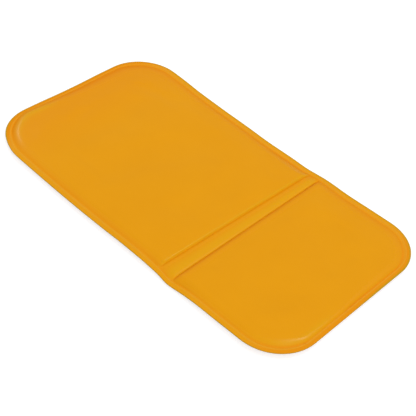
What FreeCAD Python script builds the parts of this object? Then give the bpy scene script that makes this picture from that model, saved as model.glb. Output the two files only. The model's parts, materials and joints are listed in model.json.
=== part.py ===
"""A folding laptop cooling pad: two padded panels and the narrow spine between them.

Each panel is a shallow pillow. A coated top skin and a coated bottom skin are welded face to face
round a flat rim, and hold a pack of heat-absorbing crystals between two foam sheets. The rims and
skins dip to one level at two welded folds, so that the panels close on each other over the spine.

The origin is under the middle of the pad, on the surface that it lies on. +X runs along the pad
to the small panel's end, +Y across it, and +Z is up. A panel is drawn in its own frame, with its
fold at zero and its round end at +X. The large panel is then turned half round.
"""
import FreeCAD, Part
import math
import os
import re
import Sketcher

SIZES = {
    # The pad as a whole, in millimetres
    "pad_length": 400,
    "pad_width": 225,
    "pad_height": 8.4,
    "corner_radius": 48,
    "side_draw_in": 1.2,
    # The panels and the spine
    "small_panel_length": 132.5,
    "spine_width": 17,
    "spine_height": 5,
    # The skins and their flat welded rim
    "skin": 0.6,
    "seam_height": 4.2,
    "side_rim": 8,
    "end_rim": 5.3,
    "fold_rim": 6,
    "fold_corner": 9,
    # The pillow's shoulders and crown
    "shoulder": 5.4,
    "fold_shoulder": 5.7,
    "crown": 0.8,
    "crown_reach": 24,
    "least_corner": 10,
    # The welded folds
    "fold_lift": 0.5,
    "bead_radius": 0.6,
    "fold_gap": 0.3,
    "weld_land": 0.7,
    "belly_run": 2,
    "dip_start": 2,
    "dip_run": 16,
    # The pack and its foam
    "fit_gap": 0.3,
    "top_foam": 2,
    "bottom_foam": 1.4,
    "film": 0.25,
    "pack_side_margin": 15,
    "pack_end_margin": 12,
    "pack_fold_margin": 10,
    "film_lip": 4,
    "cell_gap": 4,
    "large_cells_along": 6,
    "small_cells_along": 3,
    "cells_across": 5,
    # How far a cutting sketch runs past what it cuts
    "overrun": 5,
}

# A round shoulder, from the rim to the plateau: shares of its rise and of its run
SHOULDER_SHARES = ((0, 0), (0.5, 0.26), (0.86, 0.54), (1, 1))
# How far the fold side of a pillow leans in by the height of the rim: a share of that height
FOLD_LEAN_SHARE = 0.87
# How the spine's rib rises: shares of its height over the weld and of half its width
RIB_SHARES = ((0, 0), (0.42, 0.26), (0.78, 0.52), (1, 0.82))

# Formulas that several pieces share
FOLD_AXIS = "(fold_lift + skin)"
FOLD_TOP = "(fold_lift + 2 * skin)"
RIM_TOP = "(seam_height + skin)"
SHOULDER_TOP = "(pad_height - crown)"
HALF_WIDTH = "(pad_width / 2)"
LAND = "(bead_radius + fold_gap + weld_land)"
FOLD_LEAN = f"({LAND} + {FOLD_LEAN_SHARE} * ({RIM_TOP} - {FOLD_TOP}))"
LARGE_LENGTH = "(pad_length - small_panel_length - spine_width)"
PACK_TOP = f"({SHOULDER_TOP} - skin - fit_gap - top_foam)"
PACK_FLOOR = "(skin + bottom_foam)"
# The fold, side and end margins of the pack, and of the bottom foam on the tray's flat floor
PACK_MARGINS = ("pack_fold_margin", "pack_side_margin", "pack_end_margin")
FOAM_MARGINS = (
    f"({LAND} + belly_run + fit_gap)",
    "(side_rim + shoulder + fit_gap)",
    "(end_rim + shoulder + fit_gap)",
)

os.makedirs("parts", exist_ok=True)
document = FreeCAD.newDocument("cooling_pad")
sheet = document.addObject("Spreadsheet::Sheet", "sizes")
for row, (word, number) in enumerate(SIZES.items(), start=1):
    sheet.set(f"A{row}", word)
    sheet.set(f"B{row}", str(number))
    sheet.setAlias(f"B{row}", word)
document.recompute()

subparts = []


def bound(formula):
    """The formula with each of the sheet's words pointing at its cell."""
    return re.sub(r"[a-z_]+", lambda found: f"sizes.{found[0]}" if found[0] in SIZES else found[0], formula)


def value(formula):
    return float(sheet.evalExpression(bound(formula)))


def new_body(name):
    body = document.addObject("PartDesign::Body", name)
    body.AllowCompound = True
    return body


def origin_feature(body, role):
    return next(feature for feature in body.Origin.OriginFeatures if feature.Role == role)


def seat(thing, turned, fold):
    """Set a panel's piece with its fold at the formula fold, turned half round if it points to -X."""
    angle = 180 if turned else 0
    thing.Placement = FreeCAD.Placement(FreeCAD.Vector(), FreeCAD.Rotation(FreeCAD.Vector(0, 0, 1), angle))
    thing.setExpression("Placement.Base.x", bound(fold))


def keep(thing, label):
    """Count a finished piece among the sub-parts, under the name of its node."""
    thing.Label = label
    subparts.append(thing)


def place(thing, turned, fold):
    seat(thing, turned, fold)
    keep(thing, thing.Name)


def bend_edge(first, last, radius, side):
    """The arc of less than half a circle from first to last, with its centre on the left or the right."""
    chord = last - first
    middle = (first + last) / 2
    left = FreeCAD.Vector(-chord.y, chord.x, 0).normalize()
    centre = middle + left * (side * math.sqrt(max(radius**2 - (chord.Length / 2) ** 2, 0)))
    start, end = (first, last) if side > 0 else (last, first)
    angles = [math.atan2(point.y - centre.y, point.x - centre.x) for point in (start, end)]
    circle = Part.Circle(centre, FreeCAD.Vector(0, 0, 1), radius)
    return Part.ArcOfCircle(circle, angles[0], angles[1])


def closed_sketch(body, name, role, corners, bends=None, lift="0"):
    """A sketch on one of the body's planes, through corners given as formulas.

    bends maps the number of a corner to the radius and side of the arc that leaves it; every other
    edge is straight. lift raises the sketch off its plane.
    """
    bends = bends or {}
    sketch = body.newObject("Sketcher::SketchObject", name)
    sketch.AttachmentSupport = (origin_feature(body, role), [""])
    sketch.MapMode = "FlatFace"
    if lift != "0":
        sketch.setExpression("AttachmentOffset.Base.z", bound(lift))
    points = [FreeCAD.Vector(value(along), value(up), 0) for along, up in corners]
    ends = []
    for number, first in enumerate(points):
        last = points[(number + 1) % len(points)]
        if number in bends:
            radius, side = bends[number]
            sketch.addGeometry(bend_edge(first, last, value(radius), side))
            ends.append((1, 2) if side > 0 else (2, 1))
        else:
            sketch.addGeometry(Part.LineSegment(first, last))
            ends.append((1, 2))
    for number in range(len(points)):
        following = (number + 1) % len(points)
        sketch.addConstraint(
            Sketcher.Constraint("Coincident", number, ends[number][1], following, ends[following][0])
        )
    for number, (along, up) in enumerate(corners):
        for kind, formula in (("DistanceX", along), ("DistanceY", up)):
            rule = Sketcher.Constraint(kind, -1, 1, number, ends[number][0], value(formula))
            sketch.setExpression(f"Constraints[{sketch.addConstraint(rule)}]", bound(formula))
    for number, (radius, side) in bends.items():
        rule = Sketcher.Constraint("Radius", number, value(radius))
        sketch.setExpression(f"Constraints[{sketch.addConstraint(rule)}]", bound(radius))
    return sketch


def pad(body, sketch, length):
    """Build the sketch's shape up by length."""
    feature = body.newObject("PartDesign::Pad", f"{sketch.Name}_pad")
    feature.Profile = sketch
    feature.setExpression("Length", bound(length))
    body.Tip = feature
    document.recompute()


def pocket_both_ways(body, sketch, length):
    """Cut the sketch's shape out, half of length to each side of its plane."""
    feature = body.newObject("PartDesign::Pocket", f"{sketch.Name}_pocket")
    feature.Profile = sketch
    feature.setExpression("Length", bound(length))
    feature.SideType = "Symmetric"
    body.Tip = feature
    document.recompute()


def loft(body, sketches, kind="Additive"):
    """Join the sketches in order by straight ruled faces, as a solid or as a cut."""
    feature = body.newObject(f"PartDesign::{kind}Loft", f"{sketches[0].Name}_loft")
    feature.Profile = sketches[0]
    feature.Sections = sketches[1:]
    feature.Ruled = True
    body.Tip = feature
    document.recompute()


def arc_radius(chord, rise):
    """The radius of an arc with this chord and rise, as a formula."""
    return f"(({chord}) * ({chord}) / (8 * ({rise})) + ({rise}) / 2)"


def pillow_section(body, name, length, lift, insets):
    """A level cut through a panel's pillow: a straight fold side, a round end and drawn-in long sides."""
    fold, side, end = insets
    far = f"({length} - {end})"
    half = f"({HALF_WIDTH} - {side})"
    round_end = f"max(corner_radius - ({side} + {end}) / 2; least_corner)"
    turn = f"({fold} + fold_corner)"
    shoulder = f"({half} - fold_corner)"
    chord = f"({far} - {round_end} - {turn})"
    corners = [
        (fold, f"-{shoulder}"),
        (turn, f"-{half}"),
        (f"({far} - {round_end})", f"-{half}"),
        (far, f"-({half} - {round_end})"),
        (far, f"({half} - {round_end})"),
        (f"({far} - {round_end})", half),
        (turn, half),
        (fold, shoulder),
    ]
    drawn = (arc_radius(chord, "side_draw_in"), -1)
    rounded = (round_end, 1)
    tight = ("fold_corner", 1)
    bends = {0: tight, 1: drawn, 2: rounded, 4: rounded, 5: drawn, 6: tight}
    return closed_sketch(body, name, "XY_Plane", corners, bends, lift)


def rim_outline(body, name, length, lift):
    """The rim's outline in plan: square at the fold, round at the end, with drawn-in long sides."""
    fold = "(bead_radius + fold_gap)"
    start = f"({length} - corner_radius)"
    inner = f"({HALF_WIDTH} - corner_radius)"
    corners = [
        (fold, f"-{HALF_WIDTH}"),
        (start, f"-{HALF_WIDTH}"),
        (length, f"-{inner}"),
        (length, inner),
        (start, HALF_WIDTH),
        (fold, HALF_WIDTH),
    ]
    drawn = arc_radius(f"({start} - {fold})", "side_draw_in")
    bends = {0: (drawn, -1), 1: ("corner_radius", 1), 3: ("corner_radius", 1), 4: (drawn, -1)}
    return closed_sketch(body, name, "XY_Plane", corners, bends, lift)


def rim_cut(body, name, length, shift, upwards):
    """Cut away what lies over or under the rim's surface, which dips from the seam to the fold.

    The dip is an S of two equal arcs. shift moves the surface off the weld between the skins.
    """
    low = f"({FOLD_AXIS} + {shift})"
    high = f"(seam_height + {shift})"
    middle = f"(({low} + {high}) / 2)"
    beyond = "(pad_height + overrun)" if upwards else "(-overrun)"
    drop = f"(({high} - {low}) / 2)"
    half_run = "(dip_run / 2)"
    radius = f"(({half_run} * {half_run} + {drop} * {drop}) / (2 * {drop}))"
    corners = [
        ("-overrun", low),
        ("dip_start", low),
        (f"(dip_start + {half_run})", middle),
        ("(dip_start + dip_run)", high),
        (f"({length} + overrun)", high),
        (f"({length} + overrun)", beyond),
        ("-overrun", beyond),
    ]
    sketch = closed_sketch(body, name, "XZ_Plane", corners, {1: (radius, 1), 2: (radius, -1)})
    pocket_both_ways(body, sketch, "(pad_width + 2 * overrun)")


def fold_level():
    """The height and insets of the pillow's foot on the fold's weld."""
    return FOLD_TOP, (LAND, "fold_rim", "end_rim")


def shoulder_levels():
    """Heights and insets of the top skin's outer face, from the rim up to the plateau."""
    levels = []
    for rise, run in SHOULDER_SHARES:
        insets = (
            f"({FOLD_LEAN} + {run} * fold_shoulder)",
            f"(side_rim + {run} * shoulder)",
            f"(end_rim + {run} * shoulder)",
        )
        levels.append((f"({RIM_TOP} + {rise} * ({SHOULDER_TOP} - {RIM_TOP}))", insets))
    return levels


def crown_level():
    """The height and insets of the crown's flat, which the plateau swells up to."""
    insets = (
        f"({FOLD_LEAN} + fold_shoulder + crown_reach)",
        "(side_rim + shoulder + crown_reach)",
        "(end_rim + shoulder + crown_reach)",
    )
    return "pad_height", insets


def belly_levels():
    """Heights and insets of the bottom skin's outer face, from the rim down to its flat underside."""
    levels = []
    for drop, run in SHOULDER_SHARES:
        lean = f"({LAND} + belly_run)" if drop == 1 else LAND
        insets = (
            lean,
            f"(side_rim + {run} * shoulder)",
            f"(end_rim + {run} * shoulder)",
        )
        levels.append((f"((1 - {drop}) * (seam_height - skin))", insets))
    return levels


def sections(body, stem, length, levels, shift="0"):
    """One sketch for each level, moved up by shift."""
    made = []
    for number, (lift, insets) in enumerate(levels):
        made.append(pillow_section(body, f"{stem}_{number}", length, f"({lift} + {shift})", insets))
    return made


def top_skin(panel, length, turned, fold):
    """The upper skin: a flat rim that dips to the fold, and a hollow pillow of even wall inside it."""
    body = new_body(f"{panel}_top_skin")
    pad(body, rim_outline(body, f"{panel}_top_rim", length, FOLD_AXIS), f"({RIM_TOP} - {FOLD_AXIS})")
    rim_cut(body, f"{panel}_over_rim", length, "skin", True)
    levels = [fold_level(), *shoulder_levels(), crown_level()]
    loft(body, sections(body, f"{panel}_pillow", length, levels))
    rim_cut(body, f"{panel}_under_rim", length, "0", False)
    loft(body, sections(body, f"{panel}_hollow", length, levels, "-skin"), "Subtractive")
    place(body, turned, fold)


def bottom_skin(panel, length, turned, fold):
    """The lower skin: the same rim, and a shallow tray whose flat floor lies on the table."""
    body = new_body(f"{panel}_bottom_skin")
    pad(body, rim_outline(body, f"{panel}_low_rim", length, "fold_lift"), "(seam_height - fold_lift)")
    rim_cut(body, f"{panel}_under_low_rim", length, "-skin", False)
    loft(body, sections(body, f"{panel}_belly", length, belly_levels()))
    rim_cut(body, f"{panel}_over_low_rim", length, "0", True)
    loft(body, sections(body, f"{panel}_tray", length, belly_levels(), "skin"), "Subtractive")
    place(body, turned, fold)


def top_foam(panel, length, turned, fold):
    """The crowned foam sheet that fills the space between the pack and the top skin."""
    body = new_body(f"{panel}_top_foam")
    shoulder, plateau = shoulder_levels()[-2:]
    foot = sections(body, f"{panel}_foam_foot", length, [(PACK_TOP, shoulder[1])])
    upper = [shoulder, plateau, crown_level()]
    loft(body, foot + sections(body, f"{panel}_foam_top", length, upper, "-skin - fit_gap"))
    place(body, turned, fold)


def flat_sheet(name, length, turned, fold, lift, thickness, margins):
    """A flat sheet with the panel's plan, drawn in by its fold, side and end margins."""
    body = new_body(name)
    pad(body, pillow_section(body, f"{name}_plan", length, lift, margins), thickness)
    place(body, turned, fold)


def groove_row(body, name, kind, count, first, pitch, width, span, lift):
    """Cut count - 1 straight grooves from lift upwards, a pitch apart, that part cells along an axis."""
    middle = f"({first} + {pitch})"
    low = f"({middle} - {width} / 2)"
    high = f"({middle} + {width} / 2)"
    near, far = span
    if kind == "X_Axis":
        corners = [(low, near), (high, near), (high, far), (low, far)]
    else:
        corners = [(near, low), (far, low), (far, high), (near, high)]
    sketch = closed_sketch(body, name, "XY_Plane", corners, lift=lift)
    groove = body.newObject("PartDesign::Pocket", f"{name}_cut")
    groove.Profile = sketch
    groove.setExpression("Length", bound("pad_height"))
    groove.Reversed = True
    body.Tip = groove
    document.recompute()
    pattern = body.newObject("PartDesign::LinearPattern", f"{name}_row")
    pattern.Originals = [groove]
    pattern.Direction = (origin_feature(body, kind), [""])
    pattern.Mode = "Spacing"
    pattern.setExpression("Offset", bound(pitch))
    pattern.setExpression("Occurrences", bound(f"({count} - 1)"))
    body.Tip = pattern
    document.recompute()


def cell_margins(extra="0"):
    """The fold, side and end margins of the block of cells, less an extra wall."""
    return tuple(f"(pack_{way}_margin + film_lip - {extra})" for way in ("fold", "side", "end"))


def cut_grooves(body, panel, length, extra, lift):
    """Part a block into cells by two rows of grooves, made narrower by an extra wall on each side."""
    near, side, end = cell_margins()
    half = f"({HALF_WIDTH} - {side})"
    run = f"({length} - {end} - {near})"
    along = f"{panel}_cells_along"
    width = f"(cell_gap - 2 * {extra})"
    pitch = f"({run} / {along})"
    across_pitch = f"(2 * {half} / cells_across)"
    across_span = (f"-{HALF_WIDTH}", HALF_WIDTH)
    along_span = ("0", length)
    rows = (
        ("cross", "X_Axis", along, near, pitch, width, across_span),
        ("long", "Y_Axis", "cells_across", f"(-{half})", across_pitch, width, along_span),
    )
    for name, *row in rows:
        groove_row(body, f"{body.Name}_{name}", *row, lift)


def crystal_cells(panel, length, turned, fold):
    """The heat-absorbing crystals, in cells with a welded gap between them, as separate solids."""
    body = new_body(f"{panel}_crystal_cells")
    floor = f"({PACK_FLOOR} + film)"
    plan = pillow_section(body, f"{panel}_cell_plan", length, floor, cell_margins())
    pad(body, plan, f"({PACK_TOP} - film - {floor})")
    cut_grooves(body, panel, length, "0", PACK_FLOOR)
    place(body, turned, fold)
    return body


def upper_film(panel, length, turned, fold, cells):
    """The pack's upper film: a flat lip, with a pocket drawn up over each cell."""
    blank = new_body(f"{panel}_film_blank")
    floor = f"({PACK_FLOOR} + film)"
    plan = pillow_section(blank, f"{panel}_pocket_plan", length, floor, cell_margins("film"))
    pad(blank, plan, f"({PACK_TOP} - {floor})")
    cut_grooves(blank, panel, length, "film", floor)
    pad(blank, pillow_section(blank, f"{panel}_lip_plan", length, floor, PACK_MARGINS), "film")
    seat(blank, turned, fold)
    drawn = document.addObject("Part::Cut", f"{panel}_upper_film")
    drawn.Base = blank
    drawn.Tool = cells
    keep(drawn, drawn.Name)


def make_panel(panel, length, turned, fold):
    where = (length, turned, fold)
    top_skin(panel, *where)
    bottom_skin(panel, *where)
    top_foam(panel, *where)
    cells = crystal_cells(panel, *where)
    upper_film(panel, *where, cells)
    flat_sheet(f"{panel}_lower_film", *where, PACK_FLOOR, "film", PACK_MARGINS)
    flat_sheet(f"{panel}_bottom_foam", *where, "skin", "bottom_foam", FOAM_MARGINS)


def strip_section(body, name, lift, side, end):
    """A level cut through the spine: a long strip, with its corners rounded."""
    half = f"(spine_width / 2 - {side})"
    reach = f"({HALF_WIDTH} - {end})"
    bevel = f"({half} / 2)"
    inner = f"({half} - {bevel})"
    shoulder = f"({reach} - {bevel})"
    corners = [
        (f"-{inner}", f"-{reach}"),
        (inner, f"-{reach}"),
        (half, f"-{shoulder}"),
        (half, shoulder),
        (inner, reach),
        (f"-{inner}", reach),
        (f"-{half}", shoulder),
        (f"-{half}", f"-{shoulder}"),
    ]
    bends = {1: (bevel, 1), 3: (bevel, 1), 5: (bevel, 1), 7: (bevel, 1)}
    return closed_sketch(body, name, "XY_Plane", corners, bends, lift)


def spine_rim(body, name, lift):
    """The spine's flat rim in plan, from one fold's bead to the other."""
    half = "(spine_width / 2 - bead_radius)"
    corners = [
        (f"-{half}", f"-{HALF_WIDTH}"),
        (half, f"-{HALF_WIDTH}"),
        (half, HALF_WIDTH),
        (f"-{half}", HALF_WIDTH),
    ]
    return closed_sketch(body, name, "XY_Plane", corners, lift=lift)


def rib_levels():
    """Heights and insets of the spine's rib, from the weld to its narrow top."""
    land = "(bead_radius + weld_land)"
    rise_all = f"(spine_height - {FOLD_TOP})"
    levels = []
    for rise, run in RIB_SHARES:
        side = f"({land} + {run} * (spine_width / 2 - {land}))"
        levels.append((f"({FOLD_TOP} + {rise} * {rise_all})", side, f"(fold_rim + {run} * side_rim)"))
    return levels


def rib(body, stem, levels, shift="0"):
    made = []
    for number, (lift, side, end) in enumerate(levels):
        made.append(strip_section(body, f"{stem}_{number}", f"({lift} + {shift})", side, end))
    return made


def spine_levels_below():
    """Heights and insets of the spine's shallow underside."""
    land = "(bead_radius + weld_land)"
    return [("fold_lift", land, "fold_rim"), ("0", f"({land} + belly_run)", "(fold_rim + belly_run)")]


def make_spine():
    middle = "(pad_length / 2 - small_panel_length - spine_width / 2)"

    top = new_body("spine_top_skin")
    pad(top, spine_rim(top, "spine_rim", FOLD_AXIS), "skin")
    loft(top, rib(top, "spine_rib", rib_levels()))
    loft(top, rib(top, "spine_hollow", rib_levels(), "-skin"), "Subtractive")
    place(top, False, middle)

    bottom = new_body("spine_bottom_skin")
    pad(bottom, spine_rim(bottom, "spine_low_rim", "fold_lift"), "skin")
    loft(bottom, rib(bottom, "spine_belly", spine_levels_below()))
    loft(bottom, rib(bottom, "spine_tray", spine_levels_below(), "skin"), "Subtractive")
    place(bottom, False, middle)

    strip = new_body("spine_foam_strip")
    shoulder, ridge = rib_levels()[-2:]
    foot = rib(strip, "strip_foot", [("skin", *shoulder[1:])])
    loft(strip, foot + rib(strip, "strip_top", [shoulder, ridge], "-skin - fit_gap"))
    place(strip, False, middle)


def fold_weld(panel, fold):
    """The round bead of melted skin on a fold's axis, from rim to rim."""
    bead = document.addObject("Part::Cylinder", f"{panel}_fold_weld")
    bead.setExpression("Radius", bound("bead_radius"))
    bead.setExpression("Height", bound("pad_width"))
    across = FreeCAD.Rotation(FreeCAD.Vector(0, 0, 1), FreeCAD.Vector(0, 1, 0))
    bead.Placement = FreeCAD.Placement(FreeCAD.Vector(), across)
    bead.setExpression("Placement.Base.x", bound(fold))
    bead.setExpression("Placement.Base.y", bound(f"-{HALF_WIDTH}"))
    bead.setExpression("Placement.Base.z", bound(FOLD_AXIS))
    keep(bead, bead.Name)


SMALL_FOLD = "(pad_length / 2 - small_panel_length)"
LARGE_FOLD = "(pad_length / 2 - small_panel_length - spine_width)"

make_panel("large", LARGE_LENGTH, True, LARGE_FOLD)
make_panel("small", "small_panel_length", False, SMALL_FOLD)
make_spine()
fold_weld("large", LARGE_FOLD)
fold_weld("small", SMALL_FOLD)
document.recompute()

faults = [thing.Label for thing in document.Objects if {"Invalid", "Error"} & set(thing.State)]
faults += [thing.Label for thing in subparts if thing.Shape.isNull() or not thing.Shape.isValid()]
if faults:
    raise RuntimeError(f"These objects failed: {faults}")
for thing in subparts:
    thing.Shape.exportStep(f"parts/{thing.Label}.step")
    print(thing.Label, len(thing.Shape.Solids), round(thing.Shape.Volume / 1000, 2), "cm3")
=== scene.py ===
import json
import math

import bpy
import numpy as np
from mathutils import Matrix, Vector


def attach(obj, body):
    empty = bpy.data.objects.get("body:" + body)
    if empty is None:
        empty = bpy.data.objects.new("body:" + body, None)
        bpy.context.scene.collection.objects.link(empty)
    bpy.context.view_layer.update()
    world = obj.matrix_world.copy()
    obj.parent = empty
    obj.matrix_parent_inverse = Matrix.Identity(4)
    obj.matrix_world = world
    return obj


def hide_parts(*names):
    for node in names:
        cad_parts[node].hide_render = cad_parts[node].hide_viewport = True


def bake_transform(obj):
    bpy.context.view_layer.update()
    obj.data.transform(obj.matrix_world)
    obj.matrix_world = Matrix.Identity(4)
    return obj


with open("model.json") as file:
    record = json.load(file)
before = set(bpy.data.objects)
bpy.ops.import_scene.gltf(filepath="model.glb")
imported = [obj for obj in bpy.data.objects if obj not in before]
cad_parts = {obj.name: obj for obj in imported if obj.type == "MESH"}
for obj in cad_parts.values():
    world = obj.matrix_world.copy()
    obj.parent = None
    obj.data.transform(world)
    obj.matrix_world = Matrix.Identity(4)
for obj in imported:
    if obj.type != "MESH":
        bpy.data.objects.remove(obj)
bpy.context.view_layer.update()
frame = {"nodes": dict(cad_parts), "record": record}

# Lengths are in mm where nothing else is said. The numbers in ramp, bump and bell are places and
# lengths on the pad's plan: x from the left end to the right, y from near to far, s from the
# outline inwards and foot from the foot of the pillow inwards.

MM = 0.001

# Camera

PICTURE_PX = 416
FOCAL_PX = 1018.565
SENSOR_MM = 36.0
AZIMUTH, ELEVATION, ROLL = (math.radians(a) for a in (36.475, 43.306, 10.389))
AIM = Vector((19.82, -11.38, -0.28)) * MM
DISTANCE = 995.933 * MM
CLIP_NEAR_M, CLIP_FAR_M = 0.05, 60


def direction(azimuth, elevation):
    """The way from the pad to a camera or a lamp; at azimuth 0 it stands in front."""
    flat = math.cos(elevation)
    return Vector((math.sin(azimuth) * flat, -math.cos(azimuth) * flat, math.sin(elevation)))


def make_camera():
    """The photograph's camera, at rest on AIM and turned by ROLL about its own axis."""
    data = bpy.data.cameras.new("camera")
    data.sensor_width = SENSOR_MM
    data.lens = FOCAL_PX / PICTURE_PX * SENSOR_MM
    data.clip_start, data.clip_end = CLIP_NEAR_M, CLIP_FAR_M
    cam = bpy.data.objects.new("camera", data)
    bpy.context.scene.collection.objects.link(cam)
    back = direction(AZIMUTH, ELEVATION)
    right = (-back).cross(Vector((0, 0, 1))).normalized()
    up = right.cross(-back)
    c, s = math.cos(ROLL), math.sin(ROLL)
    turned = Matrix((right * c + up * s, up * c - right * s, back)).transposed()
    cam.matrix_world = Matrix.Translation(AIM + back * DISTANCE) @ turned.to_4x4()
    bpy.context.scene.camera = cam


make_camera()

# Sizes of the sewn cover

X_LOW, X_HIGH = -200.6, 199.6           # the outline's ends
HALF_WIDTH = 112.5
CORNERS = {(-1, -1): 52.0, (1, -1): 47.6, (1, 1): 46.2, (-1, 1): 48.0}   # by side in x and y
MEAN_CORNER = 48.0
SKIN = 0.6                              # the coated cloth

RIM_WIDTH = 7.9                         # from the outline to the foot of the pillow
END_SLIM, FOLD_SLIM = 2.1, 1.9          # how much narrower the rim is at the ends, at the folds,
NEAR_SLIM, SMALL_NEAR_SLIM, LEFT_NEAR_SLIM = 0.6, 0.4, 0.9     # and along the near side
SEAM_TOP, FAR_LIFT, NEAR_LIFT = 4.8, 0.9, 0.7    # the rim's top, and its lift on the long sides
NEAR_DIP, FAR_DIP, FAR_SAG = 2.3, 3.7, 0.8       # how far it sinks at the folds and beside them
END_LIFT, LOWEST_RIM = 0.8, 1.3
EDGE_ROUND = 0.5
CURL_REACH, LEFT_CURL, RIGHT_CURL, FAR_CURL = 5.2, -0.4, 0.5, 0.4   # the outermost cloth curls
BEAD_FROM, BEAD_TO, BEAD = 4.2, 5.05, 0.17       # the raised line that the weld leaves on the rim
GROOVE, GROOVE_WIDTH = 0.12, 0.6                 # the fine line at the foot of the pillow

SHOULDER = 8.2                          # width of the pillow's rising side
LEFT_STEEP, RIGHT_STEEP = 0.8, 3.4      # how much narrower it is at the two ends,
FAR_WIDE, NEAR_WIDE, FOLD_WIDE, CORNER_WIDE = 1.6, 0.4, 4.5, 0.9    # and wider elsewhere
TOP_ROLL, RIGHT_ROLL, CORNER_ROLL = 1.6, 0.6, 0.25    # how round that side is at its top
UNDER_SHOULDER, UNDER_LIFT = 5.3, 0.5   # the underside's rise to the rim, and its lift at a crease
UNDER_BEAD, UNDER_GROOVE = 0.7, 0.5     # shares of the weld's line and the groove that show below
PANEL_TOP, CROWN, CROWN_REACH = 7.7, 0.6, 24.0

LIGHT_CREASE, LIGHT_SLANT = 52.4, 0.029          # x at y = 0, and mm along x for each mm along y
DARK_CREASE = 66.7
LIGHT_FLOOR, DARK_FLOOR = 5.15, 3.85             # how deep the two creases go
CREASE_LINE = 1.6                                # half width of a crease on the underside
CREASE_ZONE = 12.0                               # the stretch with close stations beside a crease
LARGE_RISE, SMALL_RISE = 3.6, 6.0                # width of the panels' sides at the creases
LARGE_POWER, SMALL_POWER = 0.8, 0.58             # and how steep they start
FOLD_CORNER, SPINE_CORNER = 2.5, 1.0             # corner radii where a crease meets the rim
SPINE_TOP, ARCH_POWER, ARCH_STEEPER = 5.6, 0.75, 0.2


def smooth(t):
    t = np.clip(t, 0, 1)
    return t * t * (3 - 2 * t)


def ramp(x, start, length):
    """0 before start and a soft rise to 1 over length, which is negative for a rise to the left."""
    return smooth((x - start) / length)


def bump(t):
    """0 outside 0 to 1, and a soft rise and fall between them."""
    return np.where((t > 0) & (t < 1), np.sin(np.pi * np.clip(t, 0, 1)) ** 2, 0.0)


def bell(x, middle, width):
    return np.exp(-(((x - middle) / width) ** 2))


def bells(x, table):
    """The sum of bells, each given as its size, middle and width."""
    return sum(size * bell(x, middle, width) for size, middle, width in table)


def light_crease(y):
    return LIGHT_CREASE + LIGHT_SLANT * y


def across_spine(x, y):
    """0 up to the light crease, and 1 from the dark one on."""
    light = light_crease(y)
    return np.clip((x - light) / (DARK_CREASE - light), 0, 1)


def ends(x):
    """How far a place belongs to the left end and to the right end, 0 to 1 each."""
    return ramp(x, -150, -40), ramp(x, 150, 40)


def between_ends(x):
    left, right = ends(x)
    return (1 - left) * (1 - right)


# Plan: rings along the rim round a block

INNER_RING, BLOCK_EDGE = 24.0, 36.0     # insets of the last ring and of the block's edge
DEEP = 1e3                              # stands for the inset of points inside the rings
ARC_STEPS = 16
HALF_ARC = ARC_STEPS // 2
ACROSS = 26                             # steps along a short side
LEFT_STEPS, SPINE_STEPS, RIGHT_STEPS = 42, 18, 17      # steps along the wider stretches
LEFT_CROWDING, RIGHT_CROWDING = 1.25, 1.15             # how they crowd towards the creases
CREASE_STEPS = np.array([
    0.22, 0.46, 0.75, 1.1, 1.5, 2.0, 2.6, 3.3, 4.1, 5.0, 6.1, 7.5, 9.4, CREASE_ZONE])

RIM_RINGS = np.array([
    0, 0.07, 0.2, 0.35, EDGE_ROUND, 1.2, 2.3, 3.4, 4.0, 4.2, 4.32, 4.47, 4.62, 4.77, 4.92, 5.05])
GROOVE_RINGS = np.array([-0.55, -0.25, 0.0, 0.25, 0.5])
SHOULDER_RINGS = np.array([0.17, 0.25, 0.34, 0.44, 0.56, 0.7, 0.85, 1.0])
FLAT_RINGS = np.array([0.2, 0.45, 0.72, 1.0])
BLOCK_RINGS = np.array([1, 2, 3]) / 3


def zone_shares():
    """Where the stations lie in each stretch between two of the six lines across, 0 to 1."""
    spread = np.linspace(0, 1, LEFT_STEPS + 1)[1:]
    across = 0.5 - 0.5 * np.cos(np.pi * np.linspace(0, 1, SPINE_STEPS + 1)[1:])
    near = CREASE_STEPS / CREASE_ZONE
    return [
        1 - (1 - spread) ** LEFT_CROWDING,
        np.append(1 - near[::-1][1:], 1.0),
        across,
        near,
        np.linspace(0, 1, RIGHT_STEPS + 1)[1:] ** RIGHT_CROWDING,
    ]


def stations():
    """The stations along a long side as (zone, share), and how many lie before each line across."""
    rows, counts = [(0, 0.0)], [0]
    for zone, shares in enumerate(zone_shares()):
        rows += [(zone, t) for t in shares]
        counts.append(len(rows) - 1)
    return rows, counts


STATIONS, LINES = stations()
ALONG = len(STATIONS) - 1               # steps along a long side


def station_x(y, side):
    """x of every station at the height y of the plan, on the near side (-1) or the far one (1)."""
    start, end = X_LOW + CORNERS[-1, side], X_HIGH - CORNERS[1, side]
    light = light_crease(y)
    lines = [start, light - CREASE_ZONE, light, DARK_CREASE, DARK_CREASE + CREASE_ZONE, end]
    return np.array([lines[z] + t * (lines[z + 1] - lines[z]) for z, t in STATIONS])


def short_y(side):
    """y of the stations on a short side, from the near corner's arc to the far one's."""
    low, high = -HALF_WIDTH + CORNERS[side, -1], HALF_WIDTH - CORNERS[side, 1]
    return np.linspace(low, high, ACROSS + 1)


def rim_width(x, y):
    """From the outline to the foot of the pillow: narrow at the ends and beside the folds."""
    end = END_SLIM * ramp(np.abs(x), 176, 18) * ramp(np.abs(y), 88, -26)
    fold = FOLD_SLIM * bell(x, 59.5, 15)
    near = (NEAR_SLIM + SMALL_NEAR_SLIM * ramp(x, 75, 30)) * ramp(y, 0, -20)
    left = LEFT_NEAR_SLIM * ends(x)[0] * ramp(y, -30, -30)
    return RIM_WIDTH - end - fold - near - left


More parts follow.
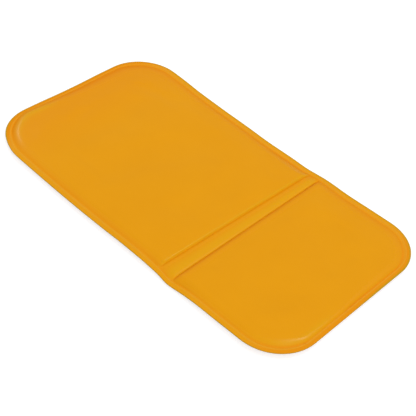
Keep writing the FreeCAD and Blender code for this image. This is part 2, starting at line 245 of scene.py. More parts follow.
def shoulder_width(x, y):
    """Width of the pillow's rising side: narrow at the right end, wide on the far side."""
    left, right = ends(x)
    steep = np.where(x > 0, RIGHT_STEEP, LEFT_STEEP)
    end = steep * ramp(np.abs(x), 172, 20) * ramp(np.abs(y), 88, -26)
    far = (FAR_WIDE + FOLD_WIDE * bell(x, 38, 34)) * ramp(y, 0, 40)
    near = NEAR_WIDE * between_ends(x) * ramp(y, 0, -40)
    return SHOULDER - end + far + near + CORNER_WIDE * (right - left) * ramp(y, -40, -30)


def ring_insets(rim, shoulder):
    """The inset of every ring at one point of the outline."""
    top = rim + shoulder
    return np.concatenate([
        RIM_RINGS, rim + GROOVE_RINGS, rim + SHOULDER_RINGS * shoulder,
        top + FLAT_RINGS * (INNER_RING - top)])


def perimeter():
    """The outline's points in order, each as a ray into the plan."""
    rays = []

    def long_side(side, order):
        for k in order:
            rays.append(("long", side, k, side * HALF_WIDTH))

    def corner(sx, sy, first):
        radius = CORNERS[sx, sy]
        centre = ((X_HIGH - radius) if sx > 0 else (X_LOW + radius), sy * (HALF_WIDTH - radius))
        for step in range(1, ARC_STEPS):
            rays.append(("arc", centre, radius, first + math.pi / 2 * step / ARC_STEPS))

    def short_side(side, order):
        for k in order:
            rays.append(("short", side, k, X_HIGH if side > 0 else X_LOW))

    long_side(-1, range(ALONG + 1))
    corner(1, -1, -math.pi / 2)
    short_side(1, range(ACROSS + 1))
    corner(1, 1, 0)
    long_side(1, range(ALONG, -1, -1))
    corner(-1, 1, math.pi / 2)
    short_side(-1, range(ACROSS, -1, -1))
    corner(-1, -1, math.pi)
    return rays


def on_ray(ray, inset):
    """The plan point of a ray at an inset."""
    kind, *rest = ray
    if kind == "arc":
        (x, y), radius, angle = rest
        return x + (radius - inset) * math.cos(angle), y + (radius - inset) * math.sin(angle)
    side, k, edge = rest
    line = edge - side * inset
    return (station_x(line, side)[k], line) if kind == "long" else (line, short_y(side)[k])


def block_place(index):
    """Where a ray ends on the block's edge, as its column and row."""
    counts = [ALONG + 1, ARC_STEPS - 1, ACROSS + 1, ARC_STEPS - 1] * 2
    leg = 0
    while index >= counts[leg]:
        index -= counts[leg]
        leg += 1
    last_col, last_row = ALONG + 2 * HALF_ARC, ACROSS + 2 * HALF_ARC
    before = HALF_ARC - index - 1       # how many rays of an arc come before the block's corner
    after = -before
    on_legs = (
        (HALF_ARC + index, 0),
        (last_col - before, 0) if before >= 0 else (last_col, after),
        (last_col, HALF_ARC + index),
        (last_col, last_row - before) if before >= 0 else (last_col - after, last_row),
        (last_col - HALF_ARC - index, last_row),
        (before, last_row) if before >= 0 else (0, last_row - after),
        (0, last_row - HALF_ARC - index),
        (0, before) if before >= 0 else (after, 0),
    )
    return on_legs[leg]


def block_grid():
    """The plan points of the block inside the rings, by column and row."""
    low, high = X_LOW + BLOCK_EDGE, X_HIGH - BLOCK_EDGE
    edge_y = HALF_WIDTH - BLOCK_EDGE

    def with_ends(inner, first, last):
        before = np.linspace(first, inner[0], HALF_ARC + 1)[:-1]
        after = np.linspace(inner[-1], last, HALF_ARC + 1)[1:]
        return np.concatenate([before, inner, after])

    near = with_ends(station_x(-edge_y, -1), low, high)
    far = with_ends(station_x(edge_y, 1), low, high)
    left = with_ends(short_y(-1), -edge_y, edge_y)
    right = with_ends(short_y(1), -edge_y, edge_y)
    u = np.linspace(0, 1, len(near))[:, None]
    y = (1 - u) * left[None, :] + u * right[None, :]
    v = (y + edge_y) / (2 * edge_y)
    x = (1 - v) * near[:, None] + v * far[:, None]
    return x, y


def make_plan():
    """Every plan point with its inset, and the quads with the column and ring that each lies in."""
    grid_x, grid_y = block_grid()
    columns, rows = grid_x.shape
    block_id = np.arange(columns * rows).reshape(columns, rows)
    x, y = list(grid_x.ravel()), list(grid_y.ravel())
    inset = list(np.full(columns * rows, DEEP))
    rings, ray_column = [], []
    for index, ray in enumerate(perimeter()):
        col, row = block_place(index)
        bx, by = grid_x[col, row], grid_y[col, row]
        ox, oy = on_ray(ray, 0.0)
        ids = []
        for s in ring_insets(rim_width(ox, oy), shoulder_width(ox, oy)):
            px, py = on_ray(ray, s)
            ids.append(len(x))
            x.append(px), y.append(py), inset.append(s)
        px, py = on_ray(ray, INNER_RING)
        for t in BLOCK_RINGS[:-1]:
            ids.append(len(x))
            x.append(px + t * (bx - px)), y.append(py + t * (by - py)), inset.append(DEEP)
        ids.append(block_id[col, row])
        rings.append(ids)
        ray_column.append(col)
    quads, column_of, ring_of = [], [], []
    for i, ids in enumerate(rings):
        following = (i + 1) % len(rings)
        nxt = rings[following]
        column = min(ray_column[i], ray_column[following])
        if ray_column[i] == ray_column[following] and column > 0:
            column -= 1
        for j in range(len(ids) - 1):
            quads.append((ids[j], nxt[j], nxt[j + 1], ids[j + 1]))
            column_of.append(column)
            ring_of.append(j)
    for k in range(columns - 1):
        for m in range(rows - 1):
            quads.append((
                block_id[k, m], block_id[k + 1, m], block_id[k + 1, m + 1], block_id[k, m + 1]))
            column_of.append(k)
            ring_of.append(len(rings[0]))
    return (np.array(a) for a in (x, y, inset, quads, column_of, ring_of))


PX, PY, INSET, QUADS, COLUMN, RING = make_plan()
LIGHT_COLUMN, DARK_COLUMN = HALF_ARC + LINES[2], HALF_ARC + LINES[3]

# Heights


def depth_inside(x, y):
    """Distance to the outline from inside."""
    half = (X_HIGH - X_LOW) / 2
    qx = np.abs(x - (X_LOW + X_HIGH) / 2) - half + MEAN_CORNER
    qy = np.abs(y) - HALF_WIDTH + MEAN_CORNER
    out = np.hypot(np.maximum(qx, 0), np.maximum(qy, 0)) + np.minimum(np.maximum(qx, qy), 0)
    return MEAN_CORNER - out


def rim_top(x, y):
    """The flat rim's top: it sinks at the folds, and lifts at the ends and the long sides."""
    near = NEAR_DIP * bell(x, 67, 22.5) - NEAR_LIFT * between_ends(x)
    far = FAR_DIP * bell(x, 41, 34) + FAR_SAG * bump((x + 130) / 170) - FAR_LIFT * between_ends(x)
    t = smooth((y + HALF_WIDTH) / (2 * HALF_WIDTH))
    lift = np.clip((-x - 60) / 140, 0, 1) ** 2 + np.clip((x - 80) / 120, 0, 1) ** 2
    return np.maximum(SEAM_TOP - near * (1 - t) - far * t + END_LIFT * lift, LOWEST_RIM)


def soft_rise(t, power=0.85, roll=2.2):
    """0 to 1, steep at the foot and rolling off, like the side of a pillow."""
    return (1 - (1 - np.clip(t, 0, 1)) ** roll) ** power


def rounded(a, b, radius):
    """How much nearer a rounded corner is than the two straight edges at distances a and b."""
    qa, qb = radius - a, radius - b
    round_one = radius - np.hypot(np.maximum(qa, 0), np.maximum(qb, 0))
    return np.where((qa > 0) & (qb > 0), np.maximum(np.minimum(a, b) - round_one, 0), 0.0)


# Slow waves, each with its direction, length, phase and height.
WAVES = np.random.default_rng(11)
WAVE_LIST = [(WAVES.uniform(0, 2 * np.pi), WAVES.uniform(55, 130), WAVES.uniform(0, 2 * np.pi),
              WAVES.uniform(0.03, 0.07)) for _ in range(7)]


def unevenness(x, y):
    """The slow, shallow swells of foam under a cover."""
    total = np.zeros_like(x)
    for turn, length, phase, size in WAVE_LIST:
        along = x * np.cos(turn) + y * np.sin(turn)
        total += size * np.sin(2 * np.pi * along / length + phase)
    return total


# How strongly the marks tint the cloth, 0 to 1. The tints from the hollow one to the dark crease's
# are painted shade.
HOLLOW_TINT, FAR_TINT, NEAR_TINT, LEFT_TINT, FOLD_TINT = 0.07, 0.28, 0.16, 0.5, 0.16
LEFT_RIM_TINT, RIGHT_RIM_TINT, LEFT_PANEL_TINT = 0.55, 0.38, 0.18
LINE_TINT, RIGHT_LINE_TINT = 0.28, 0.3
LIGHT_TINT, DARK_TINT = 0.17, 1.1
WELD_TINT, FLECK_TINT = 0.85, 0.8
MATT_LINE, MATT_HOLLOW = 0.3, 1.2
EDGE_TINT, FAR_LEFT_EDGE_TINT = 0.8, 0.9
EDGE_REACH, FAR_LEFT_EDGE_REACH = 0.6, 1.3       # how far the cut edge's tint reaches in, and how much more on the far side and at the left end


def crease_mark(x, line, before, after):
    """1 on a line: a bell before it and a slower fading after it."""
    return np.where(x < line, bell(x, line, before), np.exp(-np.maximum(x - line, 0) / after))


def marks(x, y, s, rim, beside, share):
    """What the material reads: painted shade and painted highlights, dullness, the weld and the cut
    edge.
    """
    foot, light = s - rim, light_crease(y)
    left, right = ends(x)
    line = bell(s, rim, GROOVE_WIDTH)
    away = ramp(y, -60, 120)
    # Painted shade at the pillow's foot: deeper on the far side, on the far side beside the folds,
    # on the large panel's near side and at the left end.
    shade = (FAR_TINT * away + NEAR_TINT * (x < 60) * (1 - away)) * between_ends(x)
    shade = HOLLOW_TINT + shade + LEFT_TINT * left + FOLD_TINT * away * bell(x, 30, 30)
    hollow_shade = shade * bell(foot, 0, np.where(foot < 0, 1.0, 3.2 + 4.0 * away))
    # Painted shade on the rim at the two ends.
    hollow_shade = hollow_shade + (LEFT_RIM_TINT * left + RIGHT_RIM_TINT * right) * ramp(s, rim - 0.5, -1.5)
    # Painted shade: the left panel's top is tinted a little deeper towards the left end.
    left_end_shade = LEFT_PANEL_TINT * ramp(x, -110, -70) * ramp(foot, 0, 3)
    # Painted shade down in the two creases, deepest in the dark one.
    crease = LIGHT_TINT * crease_mark(x, light, 0.7, 2.6)
    crease = (crease + DARK_TINT * crease_mark(x, DARK_CREASE, 1.1, 2.4)) * share
    # Painted highlights: a lighter tint on the spine's side towards the dark crease and on the
    # large panel's edge beside the light crease.
    arch_highlight = ramp(across_spine(x, y), 0.2, 0.5) * (beside <= 0)
    painted_highlight = (arch_highlight + bell(x, light - 2.0, 1.4)) * share
    # Painted highlights on the pillow's rising side at the near left and near right corners.
    corner_highlight = (left * bell(foot, 6.5, 3.2) + right * bell(foot, 4.2, 2.4)) * ramp(y, -20, -30)
    fleck = bell(x, light - 2.0, 1.1) + bell(x, DARK_CREASE - 3.0, 1.1)
    fleck = FLECK_TINT * fleck * bell(foot, -0.3, 1.0) * ramp(y, 0, -20)
    far_or_left = np.maximum(left, ramp(y, -20, 60))
    reach = EDGE_REACH + FAR_LEFT_EDGE_REACH * far_or_left
    # Painted shade along the fine line at the pillow's foot, deeper at the right end.
    line_tint = (LINE_TINT + RIGHT_LINE_TINT * right) * line
    return {
        "groove_shade": np.clip(np.maximum(line_tint, hollow_shade + left_end_shade) + crease, 0, 1),
        "matt": np.clip(np.maximum(MATT_LINE * line, MATT_HOLLOW * hollow_shade) + crease, 0, 1),
        "painted_highlight": painted_highlight + corner_highlight,
        "weld_line": WELD_TINT * (bell(s, (BEAD_FROM + BEAD_TO) / 2, 0.5) + fleck),
        "cut_edge": np.clip((EDGE_TINT + FAR_LEFT_EDGE_TINT * far_or_left) * (1 - s / reach), 0, 1),
    }


def levels(x, y, inset):
    """The cover's outer and inner heights, above and below, its marks, and where it lies free."""
    rim, shoulder = rim_width(x, y), shoulder_width(x, y)
    s = np.where(inset < DEEP, inset, depth_inside(x, y))
    foot = s - rim                                       # over 0 on the pillow, under 0 on the rim
    light, top_rim, right = light_crease(y), rim_top(x, y), ends(x)[1]
    beside = np.maximum(light - x, x - DARK_CREASE)      # over 0 on a panel, under 0 on the spine
    on_panel = beside > 0

    by_light = x < (light + DARK_CREASE) / 2
    rise_width = np.where(by_light, LARGE_RISE, SMALL_RISE)
    crease_floor = np.where(by_light, LIGHT_FLOOR, DARK_FLOOR)
    power = np.where(by_light, LARGE_POWER, SMALL_POWER)
    cut = rounded(foot, beside, FOLD_CORNER) * on_panel
    swell = np.clip((foot - cut - shoulder) / CROWN_REACH, 0, 1)
    swell_x = np.clip((beside - cut - rise_width) / CROWN_REACH, 0, 1)
    crown = CROWN * (1 - (1 - swell) ** 2) * (1 - (1 - swell_x) ** 2)
    panel = PANEL_TOP + crown + unevenness(x, y) * smooth(swell) * smooth(swell_x)
    panel_share = soft_rise((beside - cut) / rise_width, power)
    panel = crease_floor + (panel - crease_floor) * panel_share

    u = across_spine(x, y)
    arch = (4 * u * (1 - u)) ** (ARCH_POWER - ARCH_STEEPER * u)
    spine = LIGHT_FLOOR * (1 - u) + DARK_FLOOR * u
    spine = spine + (SPINE_TOP - spine) * arch
    cut_spine = rounded(foot, -beside, SPINE_CORNER) * ~on_panel

    roll = RIGHT_ROLL * ramp(np.abs(y), 90, -26) - CORNER_ROLL * ramp(y, -40, -30)
    share = soft_rise((foot - cut - cut_spine) / shoulder, 1.0, TOP_ROLL + right * roll)
    top = top_rim + (np.where(on_panel, panel, spine) - top_rim) * share

    line = bell(s, rim, GROOVE_WIDTH)
    bead = BEAD * bump((s - BEAD_FROM) / (BEAD_TO - BEAD_FROM))
    edge = np.clip(1 - s / EDGE_ROUND, 0, 1)
    rounding = EDGE_ROUND * (1 - np.sqrt(1 - edge ** 2))
    curl = RIGHT_CURL * ramp(x, 150, 45) + LEFT_CURL * ramp(x, -150, -45)
    curl = (curl + FAR_CURL * ramp(y, 60, 45)) * np.clip(1 - s / CURL_REACH, 0, 1)
    top, weld = top + curl, top_rim + curl - SKIN
    lift = UNDER_LIFT * np.maximum(bell(x, light, CREASE_LINE), bell(x, DARK_CREASE, CREASE_LINE))
    belly = weld - SKIN + (lift - weld + SKIN) * soft_rise(foot / UNDER_SHOULDER)
    under_line = UNDER_GROOVE * GROOVE * line * (belly > 1)      # only where it is off the table
    under = belly - UNDER_BEAD * bead + rounding + under_line
    return {
        "top_outer": top + bead - rounding - GROOVE * line,
        "top_inner": top - SKIN,
        "under_outer": np.maximum(under, 0.0),
        "under_inner": belly + SKIN,
        "free": smooth(swell) * smooth(swell_x * 2) * on_panel,
        **marks(x, y, s, rim, beside, share),
    }


# The cover settles over the foam

CLOTH_STEP, CLOTH_FRAMES, CLOTH_CAP = 4.0, 24, 0.5
CLOTH_SETTINGS = {
    "quality": 6, "mass": 0.25, "tension_stiffness": 9, "compression_stiffness": 5,
    "shear_stiffness": 4, "bending_stiffness": 0.4, "shrink_min": -0.003,
    "use_pressure": True, "uniform_pressure_force": 0.05, "vertex_group_mass": "held",
}


def settle(name, x_low, x_high):
    """A cloth simulation of one panel's cover, held at rim and crease: its grid and its moves."""
    gx = np.arange(x_low, x_high + CLOTH_STEP, CLOTH_STEP)
    gy = np.linspace(-HALF_WIDTH, HALF_WIDTH, int(2 * HALF_WIDTH / CLOTH_STEP) + 1)
    x, y = (a.ravel() for a in np.meshgrid(gx, gy, indexing="ij"))
    at = levels(x, y, np.full(len(x), DEEP))
    start = np.stack([x, y, at["top_outer"]], 1) * MM
    rows = len(gy)
    quads = [(i * rows + j, (i + 1) * rows + j, (i + 1) * rows + j + 1, i * rows + j + 1)
             for i in range(len(gx) - 1) for j in range(rows - 1)]
    mesh = bpy.data.meshes.new(name)
    mesh.from_pydata(start.tolist(), [], quads)
    sheet = bpy.data.objects.new(name, mesh)
    bpy.context.scene.collection.objects.link(sheet)
    held = sheet.vertex_groups.new(name="held")
    held.add([int(i) for i in np.nonzero(at["free"] < 0.5)[0]], 1.0, "REPLACE")
    cloth = sheet.modifiers.new("cloth", "CLOTH")
    for setting, value in CLOTH_SETTINGS.items():
        setattr(cloth.settings, setting, value)
    cloth.settings.effector_weights.gravity = 0
    cloth.collision_settings.use_collision = False
    cloth.point_cache.frame_start, cloth.point_cache.frame_end = 1, CLOTH_FRAMES
    scene = bpy.context.scene
    for step in range(1, CLOTH_FRAMES + 1):
        scene.frame_set(step)
    settled = sheet.evaluated_get(bpy.context.evaluated_depsgraph_get())
    end = np.zeros(len(x) * 3)
    settled.data.vertices.foreach_get("co", end)
    moved = (end.reshape(-1, 3) - start) / MM
    scene.frame_set(1)
    bpy.data.objects.remove(sheet)
    bpy.data.meshes.remove(mesh)
    print(name, "moved by", np.abs(moved).max(0).round(2), "mm at most")
    moved = CLOTH_CAP * np.tanh(moved / CLOTH_CAP)
    return gx, gy, moved.reshape(len(gx), rows, 3)


def spline_shares(t):
    """The four shares of a cubic spline at the place t between its two middle points."""
    return ((1 - t) ** 3 / 6, (3 * t ** 3 - 6 * t ** 2 + 4) / 6,
            (-3 * t ** 3 + 3 * t ** 2 + 3 * t + 1) / 6, t ** 3 / 6)


def sampled(field, x, y):
    """A settled field read smoothly between its grid's points."""
    gx, gy, moved = field
    last_row, last_column = len(gx) - 1, len(gy) - 1
    u = np.clip((x - gx[0]) / (gx[1] - gx[0]), 0, last_row - 0.001)
    v = np.clip((y - gy[0]) / (gy[1] - gy[0]), 0, last_column - 0.001)
    i, j = u.astype(int), v.astype(int)
    total = np.zeros((len(x), 3))
    for a, share_x in enumerate(spline_shares(u - i)):
        for b, share_y in enumerate(spline_shares(v - j)):
            row = np.clip(i + a - 1, 0, last_row)
            column = np.clip(j + b - 1, 0, last_column)
            total += (share_x * share_y)[:, None] * moved[row, column]
    return total


def softness(x, y):
    """How far the settled covers of both panels move each point."""
    large = settle("large_cloth", X_LOW, LIGHT_CREASE)
    small = settle("small_cloth", DARK_CREASE, X_HIGH)
    return np.where((x < light_crease(y))[:, None], sampled(large, x, y), sampled(small, x, y))


LEVELS = levels(PX, PY, INSET)
SETTLED = softness(PX, PY) * LEVELS["free"][:, None]
for face in ("top_outer", "top_inner"):
    LEVELS[face] = LEVELS[face] + SETTLED[:, 2]

# The outline's own bows

# Each bow has its size outwards, its middle and its width along x.
NEAR_BOWS = (
    (0.8, 66, 10), (-0.5, 150, 22), (-1.3, -170, 16), (-0.3, 2, 14), (0.9, 67, 22.5), (-0.4, 54, 8))
FAR_BOWS = (
    (-0.9, -3, 30), (-0.4, 97, 25), (-1.0, -85, 50), (-0.9, 0, 24), (-1.0, 97, 20), (-0.6, 46, 12),
    (-1.1, -12, 34), (-0.5, -110, 16))
NEAR_LONG, FAR_LONG = (1.4, 0.1), (-2.3, -1.0)   # one long bow beside each panel
FAR_OUT = 0.3
NEAR_FOLLOW = 0.65                      # the outline's share of the rim's lift on the near side
LEFT_BOW, LEFT_CORNER_BOW = 1.3, -0.4


def bowed(x, y):
    """The plan moved by the bows that this soft outline has."""
    left = ends(x)[0]
    beside_large, beside_small = bump((x + 170) / 221), bump((x - 68) / 102)
    near = NEAR_LONG[0] * beside_large + NEAR_LONG[1] * beside_small + bells(x, NEAR_BOWS)
    near = near + NEAR_FOLLOW * NEAR_LIFT * between_ends(x)
    far = FAR_LONG[0] * beside_large + FAR_LONG[1] * beside_small + bells(x, FAR_BOWS)
    far = far + FAR_OUT - FAR_LIFT * between_ends(x)
    dy = ramp(np.abs(y) / HALF_WIDTH, 0.6, 0.4) * np.where(y < 0, -near, far)
    across = bump((y + HALF_WIDTH) / (2 * HALF_WIDTH))
    dx = left * (LEFT_BOW * across + LEFT_CORNER_BOW * bell(np.abs(y), 42, 20))
    return x + dx, y + dy


PLAN = bowed(PX, PY)

# Meshes

SHARP_ANGLE = math.radians(55)


def make_piece(name, faces, outer, inner, upward):
    """A closed sheet of cloth from the quads of its stretch, its outer and its inner heights."""
    used, index = np.unique(faces, return_inverse=True)
    quads = index.reshape(-1, 4)
    n = len(used)
    x, y = PLAN
    points = np.concatenate([
        np.stack([x[used], y[used], outer[used]], 1), np.stack([x[used], y[used], inner[used]], 1)])
    edges = np.concatenate([quads[:, [a, (a + 1) % 4]] for a in range(4)])
    key = np.sort(edges, axis=1)
    _, first, count = np.unique(key, axis=0, return_index=True, return_counts=True)
    rim = edges[first[count == 1]]
    if upward:
        skins = [quads, quads[:, ::-1] + n]
        wall = np.stack([rim[:, 1], rim[:, 0], rim[:, 0] + n, rim[:, 1] + n], 1)
    else:
        skins = [quads[:, ::-1], quads + n]
        wall = np.stack([rim[:, 0], rim[:, 1], rim[:, 1] + n, rim[:, 0] + n], 1)
    mesh = bpy.data.meshes.new(name)
    mesh.from_pydata((points * MM).tolist(), [], np.concatenate(skins + [wall]).tolist())
    mesh.polygons.foreach_set("use_smooth", np.ones(len(mesh.polygons), bool))
    mesh.set_sharp_from_angle(angle=SHARP_ANGLE)
    uv = mesh.uv_layers.new(name="cloth_plan")
    corner = np.zeros(len(mesh.loops), np.int32)
    mesh.loops.foreach_get("vertex_index", corner)
    both = np.concatenate([used, used])
    flat = np.stack([PX[both], PY[both]], 1) * MM
    uv.uv.foreach_set("vector", flat[corner].astype(np.float32).ravel())
    for field in ("groove_shade", "matt", "painted_highlight", "weld_line", "cut_edge"):
        mark = mesh.attributes.new(field, "FLOAT", "POINT")
        mark.data.foreach_set("value", LEVELS[field][both].astype(np.float32))
    mesh.update()
    piece = bpy.data.objects.new(name, mesh)
    bpy.context.scene.collection.objects.link(piece)
    return piece


covers = {}
STRETCH = np.digitize(COLUMN, [LIGHT_COLUMN, DARK_COLUMN])
for number, stretch in enumerate(("large", "spine", "small")):
    part = QUADS[STRETCH == number]
    covers[stretch, "top"] = make_piece(
        f"{stretch}_top_cover", part, LEVELS["top_outer"], LEVELS["top_inner"], True)
    covers[stretch, "under"] = make_piece(
        f"{stretch}_bottom_cover", part, LEVELS["under_outer"], LEVELS["under_inner"], False)

FIT = 0.3                                # air between a foam sheet and the skin over it
PACK_TOP, PACK_FLOOR, TRAY = 4.7, 2.0, 0.6
FOAM_RING, TRAY_RING, STRIP_RING = 25, 28, 27    # the rings that the foam sheets reach out to
FOAM_STEPS, TRAY_STEPS, STRIP_STEPS = 12, 11, 7  # how many stations each stays off its creases
END_COLUMN = int(COLUMN.max()) + 1

under_skin = LEVELS["top_inner"] - FIT
level = np.ones_like(PX)
foams = {}
for cad_name, piece_name, first, last, ring, lower, upper in (
        ("large_top_foam", "large_top_foam_sheet", 0, LIGHT_COLUMN - FOAM_STEPS, FOAM_RING,
         PACK_TOP * level, under_skin),
        ("large_bottom_foam", "large_bottom_foam_sheet", 0, LIGHT_COLUMN - TRAY_STEPS, TRAY_RING,
         TRAY * level, PACK_FLOOR * level),
        ("small_top_foam", "small_top_foam_sheet", DARK_COLUMN + FOAM_STEPS, END_COLUMN, FOAM_RING,
         PACK_TOP * level, under_skin),
        ("small_bottom_foam", "small_bottom_foam_sheet", DARK_COLUMN + TRAY_STEPS, END_COLUMN,
         TRAY_RING, TRAY * level, PACK_FLOOR * level),
        ("spine_foam_strip", "spine_foam_filling", LIGHT_COLUMN + STRIP_STEPS,
         DARK_COLUMN - STRIP_STEPS, STRIP_RING, TRAY * level, under_skin)):
    chosen = (COLUMN >= first) & (COLUMN < last) & (RING >= ring)
    foams[cad_name] = make_piece(piece_name, QUADS[chosen], upper, lower, True)

# Materials

# The mottling's two tones, each at its place in the noise.
ORANGE_TONES = (0.3, (0.780, 0.321, 0.0012)), (0.7, (0.794, 0.331, 0.0016))
MARK_TONES = (                          # each mark of the cloth, with the tone that it mixes in: painted shade, painted highlight, weld line, cut edge
    ("groove_shade", (0.82, 0.219, 0.0012)),
    ("painted_highlight", (0.765, 0.352, 0.0024)),
    ("weld_line", (0.79, 0.36, 0.020)),
    ("cut_edge", (0.54, 0.31, 0.004)),
)
SKIN_SHEEN, SKIN_ROUGHNESS = 0.1, (0.20, 0.27)


def material(name, roughness):
    """A new node material and its shader."""
    mat = bpy.data.materials.new(name)
    mat.use_nodes = True
    shader = next(n for n in mat.node_tree.nodes if n.type == "BSDF_PRINCIPLED")
    shader.inputs["Roughness"].default_value = roughness
    return mat, mat.node_tree, shader


def node(tree, kind, **values):
    made = tree.nodes.new(kind)
    for key, value in values.items():
        if key in made.inputs:
            made.inputs[key].default_value = value
        else:
            setattr(made, key, value)
    return made


def skin_material():
    """Coated orange cloth: fine grain, faint mottling, its marks' tints with painted shade and
    painted highlights, and their dullness.
    """
    mat, tree, shader = material("orange_coated_cloth", 0.48)
    shader.inputs["Specular IOR Level"].default_value = SKIN_SHEEN
    link = tree.links.new
    place = node(tree, "ShaderNodeUVMap", uv_map="cloth_plan")
    mottle = node(tree, "ShaderNodeTexNoise", Scale=22.0, Detail=3.0, Roughness=0.55)
    speck = node(tree, "ShaderNodeTexNoise", Scale=420.0, Detail=2.0, Roughness=0.6)
    grain = node(tree, "ShaderNodeTexVoronoi", Scale=1500.0, feature="SMOOTH_F1")
    for texture in (mottle, speck, grain):
        link(place.outputs["UV"], texture.inputs["Vector"])
    tint = node(tree, "ShaderNodeValToRGB")
    for stop, (position, tone) in zip(tint.color_ramp.elements, ORANGE_TONES):
        stop.position, stop.color = position, (*tone, 1)
    link(mottle.outputs["Fac"], tint.inputs["Fac"])
    colour = tint.outputs["Color"]
    # The marks mix in painted shade, painted highlights, the pale weld line and the cut edge's
    # tone.
    for mark, tone in MARK_TONES:
        amount = node(tree, "ShaderNodeAttribute", attribute_name=mark)
        mixed = node(tree, "ShaderNodeMix", data_type="RGBA")
        mixed.inputs["B"].default_value = (*tone, 1)
        link(amount.outputs["Fac"], mixed.inputs["Factor"])
        link(colour, mixed.inputs["A"])
        colour = mixed.outputs["Result"]
    link(colour, shader.inputs["Base Color"])
    gloss = node(tree, "ShaderNodeMapRange")
    gloss.inputs["To Min"].default_value, gloss.inputs["To Max"].default_value = SKIN_ROUGHNESS
    link(speck.outputs["Fac"], gloss.inputs["Value"])
    matt = node(tree, "ShaderNodeAttribute", attribute_name="matt")
    dull = node(tree, "ShaderNodeMath", operation="ADD")
    link(matt.outputs["Fac"], dull.inputs[0])
    link(gloss.outputs["Result"], dull.inputs[1])
    link(dull.outputs[0], shader.inputs["Roughness"])
    relief = node(tree, "ShaderNodeBump", Strength=0.12, Distance=0.00012)
    link(grain.outputs["Distance"], relief.inputs["Height"])
    swell = node(tree, "ShaderNodeBump", Strength=0.25, Distance=0.0002)
    link(mottle.outputs["Fac"], swell.inputs["Height"])
    link(relief.outputs["Normal"], swell.inputs["Normal"])
    link(swell.outputs["Normal"], shader.inputs["Normal"])
    return mat


def inner_material(name, low_colour, high_colour, scale, rough, bump_size):
    """A hidden piece's material: two close tones in a noise, with the same noise as relief."""
    mat, tree, shader = material(name, rough)
    link = tree.links.new
    place = node(tree, "ShaderNodeTexCoord")
    cells = node(tree, "ShaderNodeTexNoise", Scale=scale, Detail=4.0)
    link(place.outputs["Object"], cells.inputs["Vector"])
    tint = node(tree, "ShaderNodeValToRGB")
    tint.color_ramp.elements[0].color = (*low_colour, 1)
    tint.color_ramp.elements[1].color = (*high_colour, 1)
    link(cells.outputs["Fac"], tint.inputs["Fac"])
    link(tint.outputs["Color"], shader.inputs["Base Color"])
    relief = node(tree, "ShaderNodeBump", Strength=0.6, Distance=bump_size)
    link(cells.outputs["Fac"], relief.inputs["Height"])
    link(relief.outputs["Normal"], shader.inputs["Normal"])
    return mat


SKIN_MATERIAL = skin_material()
FOAM_MATERIAL = inner_material(
    "grey_foam", (0.34, 0.34, 0.33), (0.46, 0.46, 0.45), 900.0, 0.95, 0.0004)
FILM_MATERIAL = inner_material(
    "clear_film", (0.70, 0.74, 0.76), (0.80, 0.83, 0.84), 60.0, 0.18, 0.0001)
CRYSTAL_MATERIAL = inner_material(
    "cooling_crystals", (0.55, 0.68, 0.74), (0.83, 0.89, 0.92), 500.0, 0.5, 0.0006)

for piece in covers.values():
    piece.data.materials.append(SKIN_MATERIAL)
for piece in foams.values():
    piece.data.materials.append(FOAM_MATERIAL)

INNER_LOOKS = {"foam": FOAM_MATERIAL, "film": FILM_MATERIAL, "crystal": CRYSTAL_MATERIAL}
for name, cad in frame["nodes"].items():
    chosen = next((look for word, look in INNER_LOOKS.items() if word in name), SKIN_MATERIAL)
    cad.data.materials.clear()
    cad.data.materials.append(chosen)

# What rides on what

# The covers stand in for the CAD skins and fold welds, which are hidden.
for side, cad_side in (("top", "top"), ("under", "bottom")):
    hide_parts(f"large_{cad_side}_skin")
    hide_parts(f"spine_{cad_side}_skin")
    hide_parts(f"small_{cad_side}_skin")
    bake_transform(covers["large", side])
    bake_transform(covers["spine", side])
    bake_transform(covers["small", side])
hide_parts("large_fold_weld", "small_fold_weld")
bodies = frame["record"]["behaviour"]["bodies"]
for cad_name, piece in foams.items():
    body = next(b for b, members in bodies.items() if cad_name in members)
    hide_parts(cad_name)
    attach(piece, body)

# Floor, light and world

FLOOR_HALF_M, FLOOR_DROP_M = 6.0, 0.0001
FLOOR_TONE, SEEN_TONE, SEEN_GLOW = 0.6, 0.45, 0.70
HORIZON_LIGHT, ZENITH_LIGHT = 0.30, 0.78
LAMPS = (                # azimuth and elevation in degrees, distance and size in m, power in W
    ("key_box", 56, 42, 8.0, 4.0, 193),
    ("edge_box", 252, 36, 3.0, 0.45, 7.5),
    ("top_box", 161, 64, 3.0, 0.3, 15),
)


def grey(tone):
    return tone, tone, tone, 1


def split_for_camera(tree, seen, other, output):
    """Gives the camera's own rays one shader and all other rays another."""
    rays = tree.nodes.new("ShaderNodeLightPath")
    pick = tree.nodes.new("ShaderNodeMixShader")
    out = tree.nodes.new(output)
    link = tree.links.new
    link(rays.outputs["Is Camera Ray"], pick.inputs["Fac"])
    link(other.outputs[0], pick.inputs[1])
    link(seen.outputs[0], pick.inputs[2])
    link(pick.outputs[0], out.inputs["Surface"])


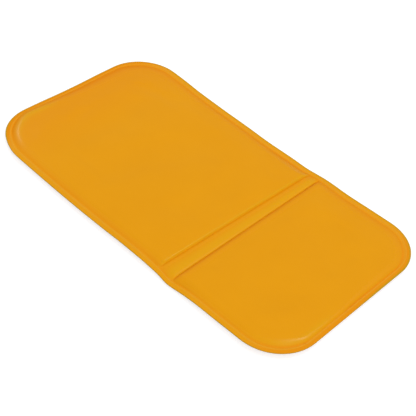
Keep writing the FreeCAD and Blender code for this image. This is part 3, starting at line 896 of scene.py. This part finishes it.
def make_floor():
    """A plain floor under the pad, which the camera sees brighter than other rays do."""
    half = FLOOR_HALF_M
    corners = [(-half, -half, 0), (half, -half, 0), (half, half, 0), (-half, half, 0)]
    mesh = bpy.data.meshes.new("floor")
    mesh.from_pydata(corners, [], [(0, 1, 2, 3)])
    floor = bpy.data.objects.new("floor", mesh)
    floor.location = (0, 0, -FLOOR_DROP_M)
    bpy.context.scene.collection.objects.link(floor)
    mat = bpy.data.materials.new("pale_floor")
    mat.use_nodes = True
    tree = mat.node_tree
    tree.nodes.clear()
    plain = node(tree, "ShaderNodeBsdfDiffuse", Color=grey(FLOOR_TONE))
    seen = node(tree, "ShaderNodeBsdfDiffuse", Color=grey(SEEN_TONE))
    glow = node(tree, "ShaderNodeEmission", Color=grey(1), Strength=SEEN_GLOW)
    both = tree.nodes.new("ShaderNodeAddShader")
    tree.links.new(seen.outputs[0], both.inputs[0])
    tree.links.new(glow.outputs[0], both.inputs[1])
    split_for_camera(tree, both, plain, "ShaderNodeOutputMaterial")
    mesh.materials.append(mat)


def make_lamp(name, azimuth, elevation, distance, size, watts):
    """A square soft box that looks at the middle of the pad."""
    data = bpy.data.lights.new(name, "AREA")
    data.shape = "SQUARE"
    data.size = size
    data.energy = watts
    lamp = bpy.data.objects.new(name, data)
    away = direction(math.radians(azimuth), math.radians(elevation))
    lamp.location = away * distance
    lamp.rotation_mode = "QUATERNION"
    lamp.rotation_quaternion = away.to_track_quat("Z", "Y")
    bpy.context.scene.collection.objects.link(lamp)


def make_world():
    """Soft light that grows towards the zenith, seen as white by the camera."""
    world = bpy.data.worlds.new("studio")
    bpy.context.scene.world = world
    world.use_nodes = True
    tree = world.node_tree
    tree.nodes.clear()
    soft = node(tree, "ShaderNodeBackground", Color=grey(1))
    place = node(tree, "ShaderNodeTexCoord")
    parts = node(tree, "ShaderNodeSeparateXYZ")
    height = node(tree, "ShaderNodeMapRange")
    height.inputs["To Min"].default_value = HORIZON_LIGHT
    height.inputs["To Max"].default_value = ZENITH_LIGHT
    white = node(tree, "ShaderNodeBackground", Color=grey(1), Strength=1.0)
    tree.links.new(place.outputs["Generated"], parts.inputs[0])
    tree.links.new(parts.outputs["Z"], height.inputs["Value"])
    tree.links.new(height.outputs["Result"], soft.inputs["Strength"])
    split_for_camera(tree, white, soft, "ShaderNodeOutputWorld")


make_floor()
for lamp_sizes in LAMPS:
    make_lamp(*lamp_sizes)
make_world()
bpy.context.scene.view_settings.view_transform = "Standard"
